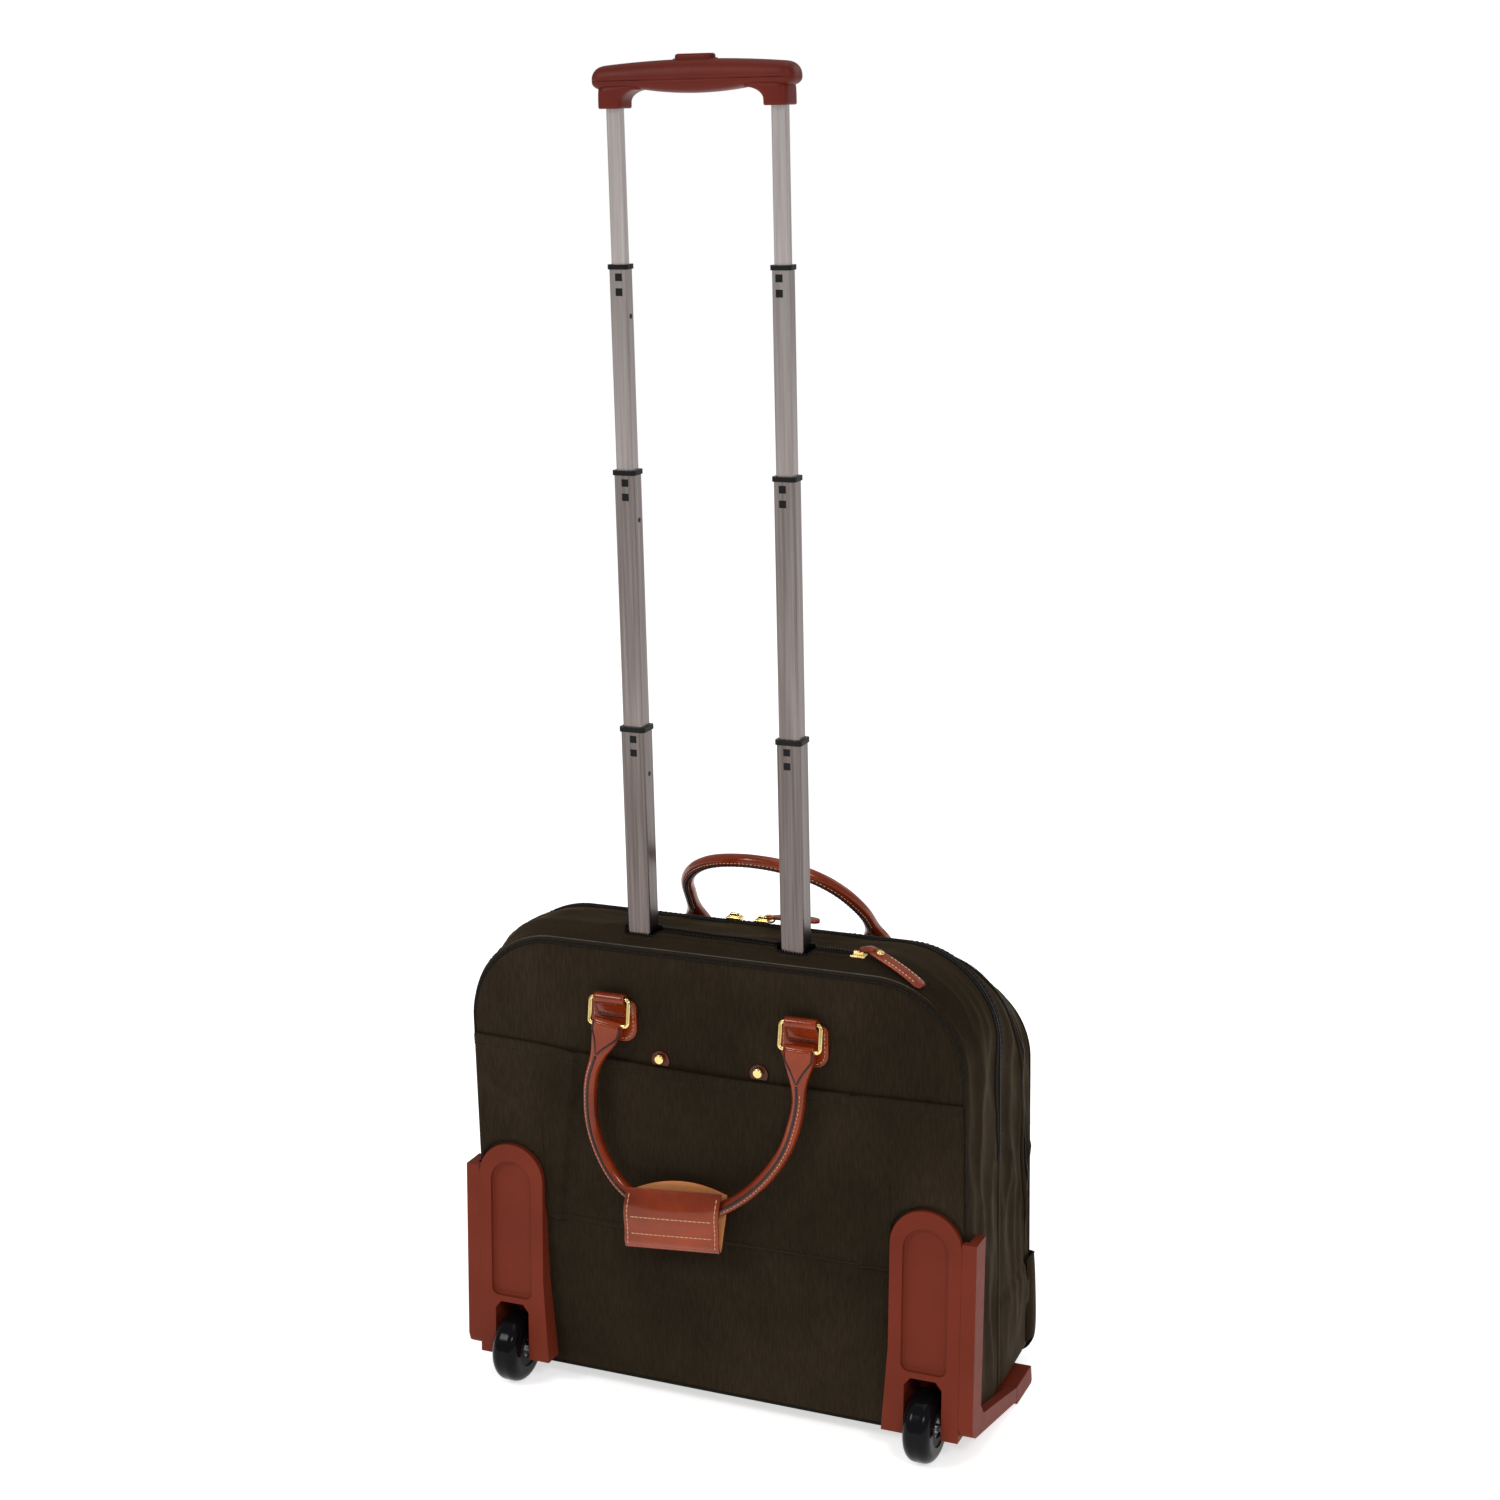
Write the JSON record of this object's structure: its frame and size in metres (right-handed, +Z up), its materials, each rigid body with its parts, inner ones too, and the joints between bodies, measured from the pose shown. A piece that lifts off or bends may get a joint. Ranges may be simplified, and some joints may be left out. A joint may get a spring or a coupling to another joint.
{
  "type": "pilot rolling flight case",
  "caption": "Soft wheeled flight case with a multi-stage telescopic trolley handle, wheel housings, side rails, folding front lid and leather carry handles on brass rings.",
  "frame": {"origin": "on the floor at the middle of the whole object's box", "axes": "+Z up, +X across the case along the wheel axles, +Y from the back panel with the wheels towards the front"},
  "size_m": [0.43, 0.22, 1.032],
  "materials": {
    "nylon": "dark olive-brown nylon with a soft sheen",
    "lining": "plain woven lining",
    "board": "stiffening sheet",
    "zip_tape": "black zip tape",
    "housing_plastic": "terracotta moulded plastic, fine grain",
    "grip_plastic": "dark red-brown moulded plastic",
    "black_plastic": "black moulded plastic",
    "tube_aluminium": "satin anodised",
    "steel": "plain",
    "wheel_black": "glossy black polyurethane",
    "leather": "cognac bridle leather, glossy, stitched",
    "brass": "polished"
  },
  "bodies": {
    "case": {"back_panel": "nylon", "back_board": "board", "rear_gusset": "nylon", "base_board": "board", "tunnel_lining": "lining", "lower_gusset": "nylon", "lower_front_panel": "nylon", "lower_divider": "lining", "front_pocket": "nylon", "back_pocket": "nylon", "main_zip_rear_tape": "zip_tape", "slot_zip_tape": "zip_tape", "wheel_housing_left": "housing_plastic", "wheel_housing_right": "housing_plastic", "side_rail_left": "housing_plastic", "side_rail_right": "housing_plastic", "feet": "housing_plastic", "wheel_axles": "steel", "fixed_tubes": "tube_aluminium", "fixed_tube_collars": "black_plastic", "lower_tube_bracket": "black_plastic", "upper_tube_bracket": "black_plastic", "bracket_screws": "steel", "back_chapes": "leather", "stud_washers": "leather", "pocket_studs": "brass"},
    "front_lid": {"lid_gusset": "nylon", "lid_front_panel": "nylon", "lid_divider": "lining", "main_zip_lid_tape": "zip_tape", "front_chapes": "leather"},
    "stage_1": {"stage_1_tubes": "tube_aluminium", "stage_1_collars": "black_plastic"},
    "stage_2": {"stage_2_tubes": "tube_aluminium", "stage_2_collars": "black_plastic"},
    "stage_3": {"stage_3_tubes": "tube_aluminium", "stage_3_collars": "black_plastic"},
    "stage_4": {"stage_4_tubes": "tube_aluminium", "grip_top_cover": "grip_plastic", "grip_bottom_cover": "grip_plastic"},
    "button": {"release_button": "grip_plastic", "release_yoke": "black_plastic", "release_rods": "steel"},
    "wheel_left": {"wheel_tyre_left": "wheel_black", "wheel_hub_left": "black_plastic", "wheel_bearings_left": "steel"},
    "wheel_right": {"wheel_tyre_right": "wheel_black", "wheel_hub_right": "black_plastic", "wheel_bearings_right": "steel"},
    "back_rings": {"back_rings": "brass"},
    "back_handle": {"back_handle": "leather", "handle_wrap": "leather"},
    "front_rings": {"front_rings": "brass"},
    "front_handle": {"front_handle": "leather"},
    "slider_left": {"main_slider_left": "brass"},
    "slider_right": {"main_slider_right": "brass"},
    "main_pull": {"main_puller": "leather"},
    "slot_slider": {"slot_slider": "brass"},
    "slot_pull": {"slot_puller": "leather"}
  },
  "joints": [
    {"name": "stage_1_slide", "type": "slide", "parent": "case", "child": "stage_1", "axis": [0, 0, 1], "range_m": [-0.221, 0]},
    {"name": "stage_2_slide", "type": "slide", "parent": "stage_1", "child": "stage_2", "axis": [0, 0, 1], "range_m": [-0.189, 0]},
    {"name": "stage_3_slide", "type": "slide", "parent": "stage_2", "child": "stage_3", "axis": [0, 0, 1], "range_m": [-0.144, 0]},
    {"name": "stage_4_slide", "type": "slide", "parent": "stage_3", "child": "stage_4", "axis": [0, 0, 1], "range_m": [-0.104, 0]},
    {"name": "button_press", "type": "slide", "parent": "stage_4", "child": "button", "axis": [0, 0, -1], "range_m": [0, 0.003], "stiffness_N_per_m": 600, "springref_m": -0.003},
    {"name": "wheel_left_spin", "type": "hinge", "parent": "case", "child": "wheel_left", "pos_m": [-0.175, -0.082, 0.028], "axis": [1, 0, 0], "continuous": true},
    {"name": "wheel_right_spin", "type": "hinge", "parent": "case", "child": "wheel_right", "pos_m": [0.175, -0.082, 0.028], "axis": [1, 0, 0], "continuous": true},
    {"name": "lid_fold", "type": "hinge", "parent": "case", "child": "front_lid", "pos_m": [0, 0.0895, 0.213], "axis": [1, 0, 0], "range_deg": [-30, 0]},
    {"name": "back_ring_pivot", "type": "hinge", "parent": "case", "child": "back_rings", "pos_m": [0, -0.0816, 0.338], "axis": [1, 0, 0], "range_deg": [-150, 0]},
    {"name": "back_handle_pivot", "type": "hinge", "parent": "back_rings", "child": "back_handle", "pos_m": [0, -0.08551, 0.31788], "axis": [1, 0, 0], "range_deg": [-28, 0]},
    {"name": "front_ring_pivot", "type": "hinge", "parent": "front_lid", "child": "front_rings", "pos_m": [0, 0.0965, 0.33], "axis": [1, 0, 0], "range_deg": [-195, 0]},
    {"name": "front_handle_pivot", "type": "hinge", "parent": "front_rings", "child": "front_handle", "pos_m": [0, 0.08332, 0.3457], "axis": [1, 0, 0], "range_deg": [-10, 0]},
    {"name": "slider_left_run", "type": "slide", "parent": "case", "child": "slider_left", "axis": [1, 0, 0], "range_m": [-0.11, 0]},
    {"name": "slider_right_run", "type": "slide", "parent": "case", "child": "slider_right", "axis": [1, 0, 0], "range_m": [0, 0.1]},
    {"name": "main_pull_lift", "type": "hinge", "parent": "slider_right", "child": "main_pull", "pos_m": [0.017, -0.001, 0.3897], "axis": [0, 1, 0], "range_deg": [-60, 0]},
    {"name": "slot_slider_run", "type": "slide", "parent": "case", "child": "slot_slider", "axis": [1, 0, 0], "range_m": [-0.03, 0]},
    {"name": "slot_pull_lift", "type": "hinge", "parent": "slot_slider", "child": "slot_pull", "pos_m": [0.116, -0.052, 0.391], "axis": [0.2924, 0.9563, 0], "range_deg": [-75, 0]}
  ]
}
